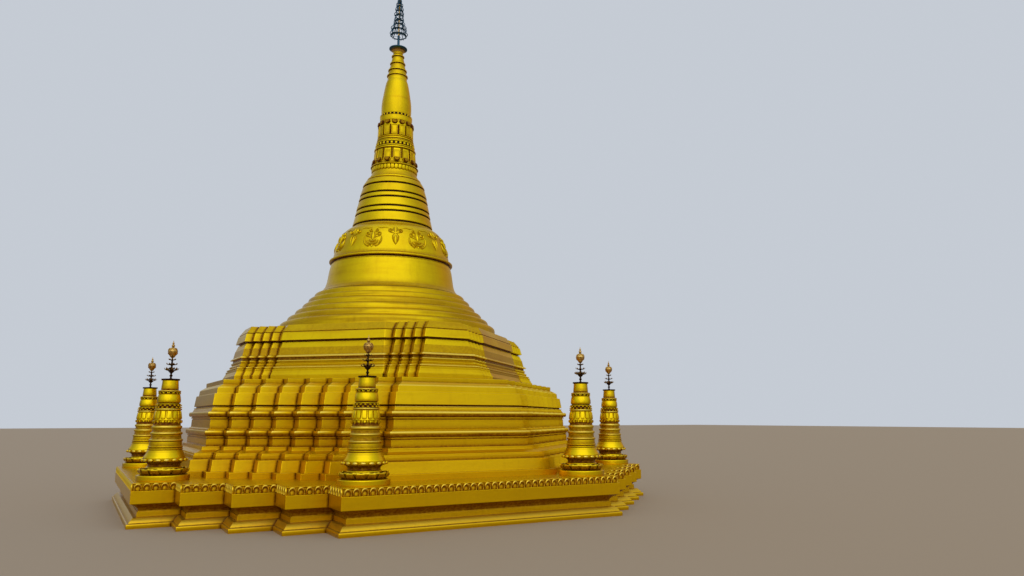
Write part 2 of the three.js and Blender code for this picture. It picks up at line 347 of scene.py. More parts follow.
def finish_of(name, tones, roughness, bump, hollow_dirt_and_shade=0.7, streaks=0.3, smears=0.0):
    """A weathered metallic finish. Its tones are pale, deep, the one near the ground, the dirt and
    painted shade in its hollows, and what it turns to where it is seen at a slant. Near-black
    painted shadow and a pale painted highlight are laid over them where the hollow value asks."""
    pale, deep, low, dirt_and_shade, edge = tones
    material = bpy.data.materials.new(name)
    material.use_nodes = True
    tree = material.node_tree
    shader = tree.nodes["Principled BSDF"].inputs
    for label, value in [("Specular Tint", edge), ("Coat Weight", 1.0), ("Coat Roughness", 0.25),
                         ("Coat IOR", 1.15)]:
        shader[label].default_value = value
    worn = add_node(tree, "ShaderNodeGroup", node_tree=weathering)
    for label, value in [("Hollow Dirt", hollow_dirt_and_shade), ("Streaks", streaks), ("Smears", smears)]:
        worn.inputs[label].default_value = value
    layer = worn.outputs
    colour = blend(tree, ramp(tree, layer["Tone"], 0.36, 0.64), deep, pale)
    for label, cover in [("Towards Ground", low), ("Painted Highlight", GOLD_PAINTED_HIGHLIGHT), ("Dirt And Shade", dirt_and_shade), ("Painted Shadow", PAINTED_SHADOW),
                         ("Dust", DUST)]:
        colour = blend(tree, layer[label], colour, cover)
    tree.links.new(colour, shader["Base Color"])
    tree.links.new(ramp(tree, layer["Dust"], 0.0, 1.0, 1.0, 0.35), shader["Metallic"])
    tree.links.new(ramp(tree, layer["Dirt And Shade"], 0.0, 1.0, roughness, 0.85), shader["Roughness"])
    relief = add_node(tree, "ShaderNodeBump", [
        ("Height", layer["Unevenness"]), ("Strength", bump), ("Distance", 0.02)])
    tree.links.new(relief.outputs["Normal"], shader["Normal"])
    return material


# The near-black colour of painted shadow.
PAINTED_SHADOW = (0.045, 0.016, 0.002, 1.0)
DUST = (0.48, 0.38, 0.24, 1.0)
# Pale gold of the painted highlights.
GOLD_PAINTED_HIGHLIGHT = (1.0, 0.75, 0.11, 1.0)
GOLD_PALE = (0.9, 0.65, 0.001, 1.0)
GOLD_DEEP = (0.68, 0.42, 0.001, 1.0)
# The more orange gold used lower down.
GOLD_LOW = (0.84, 0.5, 0.001, 1.0)
# Brown of dirt together with painted shade, for hollows, undercuts and the gaps between parts.
GOLD_DIRT_AND_SHADE = (0.25, 0.07, 0.001, 1.0)
GOLD_EDGE = (0.56, 0.46, 0.22, 1.0)
GOLD = (GOLD_PALE, GOLD_DEEP, GOLD_LOW, GOLD_DIRT_AND_SHADE, GOLD_EDGE)
gold_paint = finish_of("Gold paint", GOLD, 0.38, 0.3, streaks=0.08, smears=0.08)
gold_relief = finish_of("Gold paint on ornament", GOLD, 0.34, 0.2, hollow_dirt_and_shade=0.9, streaks=0.08)


def masonry(plan, rows):
    """Courses of gold-painted masonry on a plan: piece, CAD node, section and its marks of dirt,
    painted shade, painted shadow and painted highlight, for each.
    """
    for name, node, corners, *dirt_shade_and_highlight_marks in rows:
        new_piece(name, [course(plan, corners, dirt_shade_and_highlight_marks)], gold_paint, node)


platform_plan = stepped_plan(*PLATFORM_PLAN)
# The plinth's groove, the recess under the fascia and the ground behind the frieze are darkened with painted
# shade; the upper plinth course and the deck's top a little.
masonry(platform_plan, [
    ("PlatformPlinth", "platform_plinth", PLINTH,
     (-0.01, 0.076, 0.0), (0.078, 0.088, 1.0), (0.174, 0.254, 0.35)),
    ("PlatformRecess", "platform_recess", RECESS, (0.256, 0.39, 1.05)),
    ("PlatformFascia", "platform_fascia", FASCIA),
    ("PlatformDeck", "platform_deck", DECK, (0.597, 0.704, 0.35), (0.7195, 0.721, 0.4))])


# Frieze of the platform. Cast plaster petals stand side by side under the deck's edge, each an
# arch with a raised rim round a hollow leaf, fixed to the set-back course and painted with it.
# A petal has a pale painted highlight on its rim, and painted shade in the hollow inside it and at its foot.
PETAL = [(1.0, -0.01, 1.0), (1.0, 0.008, 0.8), (0.95, 0.026, -0.2), (0.84, 0.036, -0.7), (0.74, 0.03, 0.0),
         (0.64, 0.01, 0.9), (0.52, 0.008, 0.8), (0.38, 0.012, 0.4), (0.18, 0.016, 0.3)]
PETAL_SPACING = 0.1335
FRIEZE_FOOT = 0.596
FRIEZE_SETBACK = -0.037
ARCH_FOOT = 0.43


def arch_outline(width, height, shoulder=0.45, points=9):
    """Anticlockwise (x, z) outline of an upright arch that stands on its foot."""
    top = [(width / 2 * cos(pi * k / (points - 1)),
            height * shoulder + height * (1 - shoulder) * sin(pi * k / (points - 1)))
           for k in range(points)]
    return [(width * ARCH_FOOT, 0.0), *top, (-width * ARCH_FOOT, 0.0)]


def boss(outline, levels, middle=None):
    """A closed raised shape that faces -Y, level by level: each is how much the outline is
    scaled, how far it stands out and its mark: above 0 dirt and painted shade, above 1 a black
    painted shadow, below 0 a pale painted highlight."""
    outline = np.array(outline)
    middle = outline.mean(axis=0) if middle is None else np.array(middle)
    rings = np.array([[(x, -out, z) for x, z in middle + (outline - middle) * scale]
                      for scale, out, _ in levels])
    hollow = np.array([[deep] * len(outline) for _, _, deep in levels])
    return lofted(rings, hollow)


def part_of(mesh):
    """The mesh part held by a Blender mesh."""
    points = np.zeros(len(mesh.vertices) * 3)
    mesh.vertices.foreach_get("co", points)
    hollow = np.zeros(len(mesh.vertices))
    mesh.attributes["hollow"].data.foreach_get("value", hollow)
    return points.reshape(-1, 3), [tuple(face.vertices) for face in mesh.polygons], hollow


def repeated(part, tree, values):
    """The mesh part that a Geometry Nodes tree makes of one shape."""
    shape = new_object("Shape", new_mesh("Shape", *part))
    modifier = shape.modifiers.new("Repeat", "NODES")
    modifier.node_group = tree
    for item in tree.interface.items_tree:
        if item.item_type == "SOCKET" and item.in_out == "INPUT" and item.name in values:
            modifier[item.identifier] = values[item.name]
    graph = bpy.context.evaluated_depsgraph_get()
    made = bpy.data.meshes.new_from_object(shape.evaluated_get(graph), depsgraph=graph)
    shape.modifiers.remove(modifier)
    bpy.data.objects.remove(shape)
    return part_of(made)


def put_on(tree, given, result, points, turn):
    """Ends a tree: the given shape on each of its points, turned, as real painted geometry."""
    placed = add_node(tree, "GeometryNodeInstanceOnPoints", [
        ("Points", points), ("Instance", given["Geometry"]), ("Rotation", turn)])
    real = add_node(tree, "GeometryNodeRealizeInstances", [("Geometry", placed.outputs[0])])
    painted = add_node(tree, "GeometryNodeSetMaterial", [
        ("Geometry", real.outputs[0]), ("Material", given["Material"])])
    tree.links.new(painted.outputs[0], result["Geometry"])


def row_tree():
    """A row of one shape along each straight stretch of a path, facing the path's outer side."""
    tree, given, result = new_group(
        "Row along a path", "GeometryNodeTree",
        [("Geometry", "Geometry"), ("Path", "Object"), ("Spacing", "Float", 0.1), ("Material", "Material")],
        [("Geometry", "Geometry")])
    path = add_node(tree, "GeometryNodeObjectInfo", [("Object", given["Path"])])
    length = add_node(tree, "GeometryNodeSplineLength").outputs["Length"]
    count = calc(tree, "ADD", calc(tree, "DIVIDE", length, given["Spacing"]), 1.5)
    even = add_node(tree, "GeometryNodeResampleCurve", [
        ("Curve", path.outputs["Geometry"]), ("Count", calc(tree, "FLOOR", count))], mode="COUNT")
    spots = add_node(tree, "GeometryNodeCurveToPoints", [("Curve", even.outputs["Curve"])], mode="EVALUATED")
    way = add_node(tree, "ShaderNodeSeparateXYZ", [(0, spots.outputs["Tangent"])]).outputs
    turn = add_node(tree, "ShaderNodeCombineXYZ", [("Z", calc(tree, "ARCTAN2", way["Y"], way["X"]))])
    put_on(tree, given, result, spots.outputs["Points"], turn.outputs[0])
    return tree


def face_paths(plan, offset, height, margin):
    """A curve object with one straight stretch for each face of a plan, short by its margins."""
    curve = bpy.data.curves.new("Faces", "CURVE")
    curve.dimensions = "3D"
    points = plan[:, :2] + plan[:, 2:] * offset
    for here, after in zip(points, np.roll(points, -1, 0)):
        way = (after - here) / np.linalg.norm(after - here)
        spline = curve.splines.new("POLY")
        spline.points.add(1)
        spline.points[0].co = (*(here + way * margin), height, 1.0)
        spline.points[1].co = (*(after - way * margin), height, 1.0)
    return new_object("Faces", curve)


petal = boss(arch_outline(0.126, 0.124, shoulder=0.42, points=11), PETAL, middle=(0.0, 0.004))
frieze_path = face_paths(platform_plan, FRIEZE_SETBACK, FRIEZE_FOOT, PETAL_SPACING / 2)
frieze = repeated(petal, row_tree(), {
    "Path": frieze_path, "Spacing": PETAL_SPACING, "Material": gold_relief})
bpy.data.objects.remove(frieze_path)
new_piece("PlatformPetals", [frieze], gold_relief)


# Lower terrace. Plastered brick on a square plan with eight small steps at each corner, built
# up in courses: a base, a battered band, two walls with torus mouldings, and a cornice.
TIER1_PLAN = (1.284, 0.33, 8)
TIER1_BASE = [(0.5, 0.72, 0), (0.5, 0.826, 0.006), (0.42, 0.83, 0)]
TIER1_LOWER_BAND = [
    (0.415, 0.83, 0), (0.414, 0.838, 0.003), (0.391, 1.028, 0.006), (0.346, 1.032, 0.002),
    (0.336, 1.038, 0.002), (0.335, 1.106, 0.003), (0.324, 1.11, 0.002), (0.322, 1.142, 0.005),
    (0.298, 1.146, 0.003), (0.205, 1.186, 0.004), (0.184, 1.189, 0.002), (0.181, 1.214, 0)]
TIER1_LOWER_WALL = [
    (0.181, 1.214, 0), (0.179, 1.25, 0.005), (0.112, 1.256, 0.002), (0.106, 1.262, 0.003),
    (0.105, 1.388, 0.003), (0.093, 1.39, 0.002), (0.093, 1.409, 0.002), (0.111, 1.412, 0.003),
    (0.111, 1.43, 0.003), (0.098, 1.433, 0.002), (0.1, 1.444, 0.003), (0.142, 1.447, 0.04),
    (0.142, 1.541, 0.04), (0.102, 1.544, 0.003), (0.084, 1.547, 0.002), (0.084, 1.556, 0)]
TIER1_UPPER_WALL = [
    (0.084, 1.556, 0), (0.092, 1.56, 0.003), (0.066, 1.584, 0.012), (0.052, 1.589, 0.002),
    (0.046, 1.742, 0.003), (0.033, 1.744, 0.002), (0.033, 1.758, 0.002), (0.059, 1.761, 0.003),
    (0.059, 1.785, 0.004), (0.046, 1.788, 0.002), (0.05, 1.798, 0.003), (0.102, 1.801, 0.04),
    (0.102, 1.893, 0.04), (0.052, 1.896, 0.003), (0.044, 1.9, 0.003), (0.014, 1.96, 0.02),
    (0.014, 1.964, 0.002), (0.022, 1.966, 0.002), (0.022, 1.98, 0.003), (-0.014, 1.984, 0.002),
    (-0.016, 1.99, 0)]
TIER1_CORNICE = [
    (-0.016, 1.99, 0), (-0.014, 2.008, 0.002), (0.022, 2.013, 0.003), (-0.008, 2.236, 0.008),
    (-0.045, 2.24, 0)]
TIER1_TOP = [
    (-0.048, 2.24, 0), (-0.052, 2.252, 0.003), (-0.062, 2.35, 0.006), (-0.076, 2.354, 0.002),
    (-0.078, 2.362, 0.002), (-0.162, 2.418, 0.006), (-0.172, 2.422, 0.002), (-0.172, 2.512, 0.008),
    (-0.2, 2.518, 0)]

# Marks on the courses: painted shade under fillets and on the lower halves of the tori, pale painted
# highlights on their tops and on the top courses, and near-black painted shadow under the cornice.
masonry(stepped_plan(*TIER1_PLAN), [
    ("LowerTerraceBase", "tier1_base_band", TIER1_BASE),
    ("LowerTerraceBand", "tier1_lower_band", TIER1_LOWER_BAND),
    ("LowerTerraceLowerWall", "tier1_lower_wall", TIER1_LOWER_WALL,
     (1.387, 1.411, 0.9), (1.432, 1.449, 1.0), (1.449, 1.5, 0.95), (1.508, 1.538, -0.8)),
    ("LowerTerraceUpperWall", "tier1_upper_wall", TIER1_UPPER_WALL,
     (1.741, 1.76, 0.9), (1.787, 1.803, 1.0), (1.803, 1.852, 0.95), (1.858, 1.89, -0.9),
     (1.964, 1.981, -0.5), (1.981, 1.991, 1.3)),
    ("LowerTerraceCornice", "tier1_cornice", TIER1_CORNICE, (1.989, 2.0085, 1.3)),
    ("LowerTerraceTop", "tier1_top_courses", TIER1_TOP, (2.349, 2.366, -0.7), (2.404, 2.424, -0.9))])


# Upper terrace. The same plastered brick, with four narrow faces, four small steps beside each
# and a slanting face between them: a battered foot, a wall with a torus, cornice and top course.
TIER2_PLAN = (0.5, 3.3, 0.148, 4)
TIER2_FOOT = [
    (0.19, 2.518, 0), (0.19, 2.616, 0.006), (0.18, 2.622, 0.003), (0.15, 2.69, 0.006),
    (0.146, 2.696, 0.003), (0.146, 2.738, 0.004), (0.12, 2.742, 0.002), (0.118, 2.754, 0.002),
    (0.132, 2.758, 0.002), (0.132, 2.78, 0.004), (0.092, 2.786, 0.003), (0.078, 2.812, 0.003),
    (0.085, 2.816, 0.003), (0.09, 2.832, 0.006), (0.056, 2.866, 0.004), (0.045, 2.87, 0)]
TIER2_WALL = [
    (0.045, 2.87, 0), (0.044, 2.884, 0.003), (0.06, 2.888, 0.003), (0.062, 2.918, 0.006),
    (0.036, 2.924, 0.003), (0.032, 2.974, 0.004), (0.074, 2.978, 0.003), (0.082, 2.99, 0.006),
    (0.054, 3.02, 0.004), (0.032, 3.026, 0.003), (0.004, 3.172, 0.004), (-0.002, 3.178, 0.003),
    (-0.046, 3.294, 0.004), (-0.075, 3.298, 0.003), (-0.075, 3.31, 0)]
TIER2_CORNICE = [
    (-0.06, 3.31, 0), (-0.06, 3.322, 0.003), (0.0, 3.327, 0.004), (-0.036, 3.488, 0.008),
    (-0.043, 3.495, 0)]
TIER2_TOP = [
    (-0.046, 3.495, 0), (-0.058, 3.5, 0.003), (-0.06, 3.512, 0.003), (-0.052, 3.518, 0.003),
    (-0.14, 3.646, 0.008), (-0.15, 3.66, 0)]


def slanted_plan(*sizes):
    """A plan with four stepped faces and a slanting one between them, anticlockwise."""
    slant = sqrt(2) - 1
    side = stepped_side(*sizes)
    side[-1] = (*side[-1][:2], slant, -1)
    mirrored = [(-y, -x, -out_y, -out_x) for x, y, out_x, out_y in side]
    return quarter_turns(side + mirrored[::-1])


# Marks on the courses: pale painted highlights on the fillets and torus, painted shade between them and on
# the lower half of the wall, near-black painted shadow under the cornice, and painted shade on the top
# course.
masonry(slanted_plan(*TIER2_PLAN), [
    ("UpperTerraceFoot", "tier2_foot", TIER2_FOOT, (2.764, 2.788, -0.9)),
    ("UpperTerraceWall", "tier2_wall", TIER2_WALL,
     (2.871, 2.886, 0.6), (2.896, 2.919, -0.6), (2.921, 2.977, 1.0), (2.979, 3.018, -0.9),
     (3.032, 3.174, 0.5), (3.296, 3.32, 1.2)),
    ("UpperTerraceCornice", "tier2_cornice", TIER2_CORNICE, (3.3, 3.328, 1.2)),
    ("UpperTerraceTop", "tier2_top_course", TIER2_TOP, (3.497, 3.515, 1.0), (3.516, 3.66, 0.35))])


# Round steps. Six plastered rings of brick, each set back from the one below, with a short
# riser, a rounded nose and a slope behind it. They carry the bell.
STEP_NOSES = [
    (2.468, 3.773), (2.305, 3.927), (2.145, 4.081), (1.991, 4.228), (1.864, 4.375), (1.739, 4.498)]
STEPS_FOOT = 3.66
STEPS_TOP = 4.588
BELL_FOOT_RADIUS = 1.64
NOSE_DROP = 0.04
NOSE_RISE = 0.06
gold_smeared = finish_of("Smeared gold paint", GOLD, 0.38, 0.3, streaks=0.08, smears=0.36)


def turned(corners, sides=160, longest=0.06, hoop=False, dirt_shade_and_highlight_marks=()):
    """A part turned about the upright axis from its (radius, height, easing) section."""
    chain = spaced(eased(corners), longest)
    angles = [2 * pi * k / sides for k in range(sides)]
    rings = np.array([[(radius * cos(a), radius * sin(a), up) for a in angles]
                      for radius, up in chain])
    return lofted(rings, np.repeat(dirt_shade_and_highlights(chain, dirt_shade_and_highlight_marks)[:, None], sides, axis=1), hoop)


step_feet = [STEPS_FOOT] + [height - NOSE_DROP for _, height in STEP_NOSES[1:]] + [STEPS_TOP]
step_reach = [radius + 0.002 for radius, _ in STEP_NOSES] + [BELL_FOOT_RADIUS]
# The steps are darkened lightly all over and more in a line at the foot of each riser, a painted shade.
step_dirt_and_shade = [(STEPS_FOOT, STEPS_TOP, 0.1)] + [(foot - 0.005, foot + 0.004, 0.2) for foot in step_feet[1:]]
for node in range(3):
    section = []
    for i in (2 * node, 2 * node + 1):
        nose, height = STEP_NOSES[i]
        section += [(step_reach[i], step_feet[i], 0.003), (nose - 0.01, height + NOSE_RISE, 0.055),
                    (step_reach[i + 1] + 0.012, step_feet[i + 1] - 0.006, 0.004)]
    section.append((step_reach[2 * node + 2], step_feet[2 * node + 2], 0))
    new_piece(f"RoundSteps{node + 1}", [turned(section, dirt_shade_and_highlight_marks=step_dirt_and_shade)], gold_smeared,
              f"round_steps_{node + 1}")


# Bell. A plastered brick drum that flares at its foot, under a domed shoulder with an
# overhanging rim. The shoulder carries plaster relief: leaf sprays and pendants in turn.
BELL = [
    (1.624, 4.588, 0), (1.622, 4.602, 0.003), (1.585, 4.63, 0.02), (1.534, 4.685, 0.04),
    (1.497, 4.751, 0.05), (1.466, 4.866, 0.05), (1.452, 4.963, 0.05), (1.425, 5.143, 0.05),
    (1.392, 5.276, 0.01), (1.372, 5.283, 0)]
SHOULDER = [
    (1.372, 5.283, 0), (1.37, 5.3, 0.004), (1.372, 5.328, 0.003), (1.43, 5.333, 0.004),
    (1.438, 5.342, 0.008), (1.436, 5.374, 0.006), (1.396, 5.378, 0.003), (1.39, 5.398, 0.004),
    (1.362, 5.418, 0.006), (1.352, 5.45, 0.02), (1.339, 5.514, 0.04), (1.298, 5.703, 0.08),
    (1.214, 5.925, 0.09), (1.12, 6.06, 0.06), (1.01, 6.142, 0.04), (0.985, 6.15, 0.006),
    (0.978, 6.17, 0.006), (0.95, 6.176, 0.005), (0.944, 6.196, 0.006), (0.9, 6.2, 0)]
RELIEF_FOOT = 5.47
RELIEF_FLATNESS = 0.8
# Painted shade along the foot of each relief stroke, which outlines it.
RELIEF_OUTLINE_SHADE = 0.45
RELIEF_TURN = radians(-129.6)
SPRAY_SLIMNESS = 0.87
PENDANT_LIFT = 0.05
STROKE_END = 0.35
RIDGE = [(-0.85, -0.2), (0.85, -0.2), (0.8, 0.1), (0.46, 0.16), (0.36, 0.66), (0.0, 1.0), (-0.36, 0.66),
         (-0.46, 0.16), (-0.8, 0.1)]
RIDGE_FOOT = 0.2

shoulder_chain = spaced(eased(SHOULDER), 0.02)
shoulder_chain = shoulder_chain[shoulder_chain[:, 1] >= RELIEF_FOOT]
shoulder_run = steps_along(shoulder_chain)


def on_shoulder(turn, across, up):
    """Point and outward direction on the shoulder, across and up from a foot at that turn."""
    radius, height = (np.interp(up, shoulder_run, shoulder_chain[:, k]) for k in (0, 1))
    ahead = [np.interp(up + 0.01, shoulder_run, shoulder_chain[:, k]) for k in (0, 1)]
    slope = Vector((ahead[0] - radius, ahead[1] - height)).normalized()
    angle = turn + across / radius
    outward = Vector((cos(angle), sin(angle), 0.0))
    return outward * radius + Vector((0, 0, height)), outward * slope.y + Vector((0, 0, -slope.x))


def strand(points, normals, widths, heights, section=RIDGE, outline_shade=0.0):
    """A closed ridge or rod along a path: its section is scaled by a width and a height. The
    points along its foot get the given amount of painted shade, which outlines it.
    """
    rings = []
    for i, (here, normal) in enumerate(zip(points, normals)):
        ahead = points[min(i + 1, len(points) - 1)] - points[max(i - 1, 0)]
        side = normal.cross(ahead).normalized()
        rings.append([tuple(here + side * widths[i] * across + normal * heights[i] * lift)
                      for across, lift in section])
    hollow = np.array([[outline_shade if lift < RIDGE_FOOT else 0.0 for _, lift in section]] * len(points))
    return lofted(np.array(rings), hollow)


def curl(middle, radius, start, turns, tail=(), count=12):
    """Flat points of a scroll that winds in to its middle, after the points of its tail."""
    wound = []
    for k in range(count):
        angle = start + 2 * pi * turns * k / (count - 1)
        reach = radius * (1 - 0.8 * k / (count - 1))
        wound.append((middle[0] + reach * cos(angle), middle[1] + reach * sin(angle)))
    return [*tail, *wound]


def arc(middle, radius_x, radius_z, start, end, count=11):
    """Flat points of an arc between two angles in degrees."""
    turns = [radians(start + (end - start) * k / (count - 1)) for k in range(count)]
    return [(middle[0] + radius_x * cos(a), middle[1] + radius_z * sin(a)) for a in turns]


def with_mirrored(single, paired):
    """Strokes, each a flat path, its greatest width and its height, with some of them doubled."""
    strokes = list(single)
    for path, width, height in paired:
        strokes += [(path, width, height), ([(-across, up) for across, up in path], width, height)]
    return strokes


spray = with_mirrored([
    (arc((0, 0.24), 0.16, 0.15, 200, 340), 0.07, 0.045), (arc((0, 0.26), 0.1, 0.11, 205, 335), 0.045, 0.03),
    ([(0, 0.2), (0, 0.27), (0, 0.34), (0, 0.42)], 0.085, 0.05),
    ([(0, 0.02), (0, 0.06), (0, 0.09)], 0.05, 0.03)], [
    (curl((0.145, 0.345), 0.06, -1.6, 1.15, [(0.05, 0.25)]), 0.034, 0.035),
    (curl((0.075, 0.455), 0.045, -2.4, 1.1, [(0.02, 0.38)]), 0.03, 0.032),
    ([(0.06, 0.3), (0.095, 0.36), (0.1, 0.41)], 0.04, 0.03),
    (arc((0.1, 0.24), 0.13, 0.19, -75, 15), 0.036, 0.032),
    ([(0.05, 0.07), (0.11, 0.045), (0.17, 0.06)], 0.034, 0.026)])
pendant = with_mirrored([([(0, 0.05), (0, 0.12), (0, 0.2), (0, 0.27)], 0.085, 0.04)], [
    ([(0, 0.03), (0.035, 0.1), (0.062, 0.18), (0.065, 0.25), (0.03, 0.3)], 0.024, 0.03),
    (curl((0.105, 0.395), 0.052, -1.2, 1.2, [(0.01, 0.31), (0.06, 0.33)]), 0.03, 0.034),
    ([(0.15, 0.46), (0.23, 0.49), (0.32, 0.47), (0.4, 0.5)], 0.022, 0.018),
    ([(0.02, 0.36), (0.045, 0.44), (0.03, 0.5)], 0.036, 0.026)])


def relief_strokes(turn, strokes, slimness=1.0, lift=0.0):
    """Mesh parts of plaster strokes at one turn of the shoulder, pointed at both ends."""
    parts = []
    for flat, width, height in strokes:
        placed = [on_shoulder(turn, across * slimness, up + lift) for across, up in flat]
        last = len(flat) - 1
        swell = [STROKE_END + (1 - STROKE_END) * sin(pi * k / last) for k in range(last + 1)]
        parts.append(strand([place for place, _ in placed], [normal for _, normal in placed],
                            [width * s for s in swell], [RELIEF_FLATNESS * height * s for s in swell],
                            outline_shade=RELIEF_OUTLINE_SHADE))
    return parts


relief = []
for k in range(8):
    relief += relief_strokes(RELIEF_TURN + k * pi / 4, spray, slimness=SPRAY_SLIMNESS)
    relief += relief_strokes(RELIEF_TURN + (k + 0.5) * pi / 4, pendant, lift=PENDANT_LIFT)
# Near-black painted shadow under the rim's lip, painted shade in the groove above it and on the shoulder's
# top fillets.
shoulder_shade_marks = [(5.299, 5.331, 1.5), (5.375, 5.4, 0.8), (6.1, 6.2, 0.5)]
# A near-black painted shadow line at the bell's foot, and painted shade up its flare.
new_piece("Bell", [turned(BELL, dirt_shade_and_highlight_marks=[(4.58, 4.6, 1.4), (4.604, 4.69, 0.45)])], gold_paint, "bell_body")
new_piece("BellShoulder", [turned(SHOULDER, dirt_shade_and_highlight_marks=shoulder_shade_marks)], gold_paint, "bell_shoulder")
new_piece("BellRelief", relief, gold_relief, crease=50)


# Ringed cone. Turned plaster rings, wide and narrow in turn, each with a lip that overhangs the
# one below, under a narrow fillet and a smooth hollow-curved neck.
CONE_LIPS = [(0.942, 6.237), (0.892, 6.487), (0.866, 6.62), (0.821, 6.849), (0.793, 6.98), (0.737, 7.212)]
CONE_TOP = (0.67, 7.383)
LIP_OVERHANG = 0.042
UNDERCUT = 0.035

cone = [(0.9, 6.2, 0)]
for (radius, height), above in zip(CONE_LIPS, [*CONE_LIPS[1:], CONE_TOP]):
    inner = radius - LIP_OVERHANG
    cone += [(inner, height - UNDERCUT, 0.004), (inner, height - 0.002, 0.004),
             (radius - 0.003, height, 0.004), (radius, height + 0.016, 0.01),
             (above[0] + 0.004, above[1] - UNDERCUT - 0.004, 0.012)]
cone += [(0.632, 7.352, 0.004), (0.632, 7.368, 0.004), (0.646, 7.376, 0.008), (0.638, 7.412, 0.012),
         (0.602, 7.428, 0.01), (0.56, 7.505, 0.05), (0.534, 7.57, 0.03), (0.52, 7.606, 0)]
# Near-black painted shadow under each overhanging lip, and painted shade under the neck's fillet.
cone_shade_marks = [(height - UNDERCUT - 0.002, height - 0.001, 1.7) for _, height in CONE_LIPS]
cone_shade_marks.append((7.35, 7.372, 0.9))
new_piece("RingedCone", [turned(cone, 128, dirt_shade_and_highlight_marks=cone_shade_marks)], gold_paint, "ringed_cone")


# Lotus bands. Cast plaster petals round the spire: a hanging scalloped skirt and long petals
# with curled ends, a band of square beads between fillets, long petals again and a crown of tips.
LOTUS_LOWER = [
    (0.512, 7.606, 0), (0.522, 7.704, 0.004), (0.56, 7.708, 0.002), (0.572, 7.718, 0.004),
    (0.55, 7.745, 0.02), (0.515, 7.775, 0.02), (0.486, 7.85, 0.03), (0.468, 8.000, 0.02),
    (0.46, 8.13, 0)]
BEADS = [
    (0.46, 8.13, 0), (0.472, 8.138, 0.004), (0.498, 8.143, 0.004), (0.498, 8.17, 0.006),
    (0.462, 8.177, 0.003), (0.462, 8.192, 0.003), (0.475, 8.196, 0.004), (0.475, 8.218, 0.005),
    (0.452, 8.224, 0.003), (0.446, 8.302, 0.003), (0.462, 8.307, 0.004), (0.462, 8.331, 0.005),
    (0.442, 8.336, 0.003), (0.442, 8.342, 0.003), (0.453, 8.345, 0.003), (0.453, 8.362, 0.004),
    (0.434, 8.367, 0.003), (0.432, 8.385, 0.003), (0.445, 8.389, 0.003), (0.445, 8.408, 0.005),
    (0.425, 8.414, 0.003), (0.415, 8.446, 0)]
LOTUS_UPPER = [
    (0.415, 8.446, 0), (0.433, 8.45, 0.004), (0.433, 8.468, 0.005), (0.402, 8.474, 0.003),
    (0.396, 8.6, 0.01), (0.391, 8.862, 0.004), (0.376, 8.868, 0.003), (0.383, 8.88, 0.005),
    (0.391, 9.000, 0.006), (0.37, 9.01, 0.003), (0.363, 9.068, 0.003), (0.345, 9.07, 0)]
SPIRE_SIDES = 96
LONG_PETALS = 14
LOWER_TURN = radians(10.5)
UPPER_TURN = radians(1.3)
SKIRT_TURN = radians(2.8)
BEAD_TURN = radians(-5.2)
# Each cast shape gets painted shadow and painted shade round its foot, and the curled tips painted shade all
# over.
RAISED = [(1.0, -0.02, 1.5), (1.0, 0.004, 1.0), (0.93, 0.022, 0.0), (0.84, 0.024, 0.0), (0.74, 0.016, 0.3),
          (0.4, 0.022, 0.0)]
LOBE = [(1.0, -0.02, 1.0), (0.98, 0.002, 0.6), (0.8, 0.012, 0.0), (0.42, 0.016, 0.0)]
PILLOW = [(1.0, -0.02, 2.0), (0.98, 0.004, 1.0), (0.8, 0.016, 0.0), (0.42, 0.022, 0.0)]
CURLED_TIP = [(1.0, -0.03, 1.3), (1.0, 0.016, 1.2), (0.84, 0.034, 1.0), (0.56, 0.042, 0.7), (0.3, 0.04, 0.7)]


def ring_tree():
    """A ring of one shape about the upright axis, each copy facing outwards."""
    tree, given, result = new_group(
        "Ring about the axis", "GeometryNodeTree",
        [("Geometry", "Geometry"), ("Count", "Int", 12), ("Radius", "Float", 1.0), ("Height", "Float", 0.0),
         ("Lean", "Float", 0.0), ("First Turn", "Float", 0.0), ("Material", "Material")],
        [("Geometry", "Geometry")])
    index = add_node(tree, "GeometryNodeInputIndex").outputs[0]
    share = calc(tree, "DIVIDE", index, given["Count"])
    angle = calc(tree, "MULTIPLY_ADD", share, 2 * pi, given["First Turn"])
    start = add_node(tree, "ShaderNodeCombineXYZ", [
        ("Y", calc(tree, "SUBTRACT", 0.0, given["Radius"])), ("Z", given["Height"])])
    spot = add_node(tree, "ShaderNodeVectorRotate", [
        ("Vector", start.outputs[0]), ("Angle", angle)], rotation_type="Z_AXIS")
    points = add_node(tree, "GeometryNodePoints", [("Count", given["Count"]), ("Position", spot.outputs[0])])
    turn = add_node(tree, "ShaderNodeCombineXYZ", [("X", given["Lean"]), ("Z", angle)])
    put_on(tree, given, result, points.outputs[0], turn.outputs[0])
    return tree


ring_of = ring_tree()


def ring(part, count, radius, height, lean=0.0, first=0.0, material=gold_relief):
    """A ring of one shape; lean is in degrees and tips the top of the shape outwards."""
    return repeated(part, ring_of, {
        "Count": count, "Radius": radius, "Height": height, "Lean": radians(lean),
        "First Turn": first, "Material": material})


def turned_over(outline):
    """An arch outline hung from its foot instead, still anticlockwise."""
    return [(-x, -z) for x, z in outline]


def box_outline(width, height):
    """Anticlockwise outline of a rectangle about its middle."""
    return [(width * x, height * z) for x, z in [(0.5, 0.5), (-0.5, 0.5), (-0.5, -0.5), (0.5, -0.5)]]


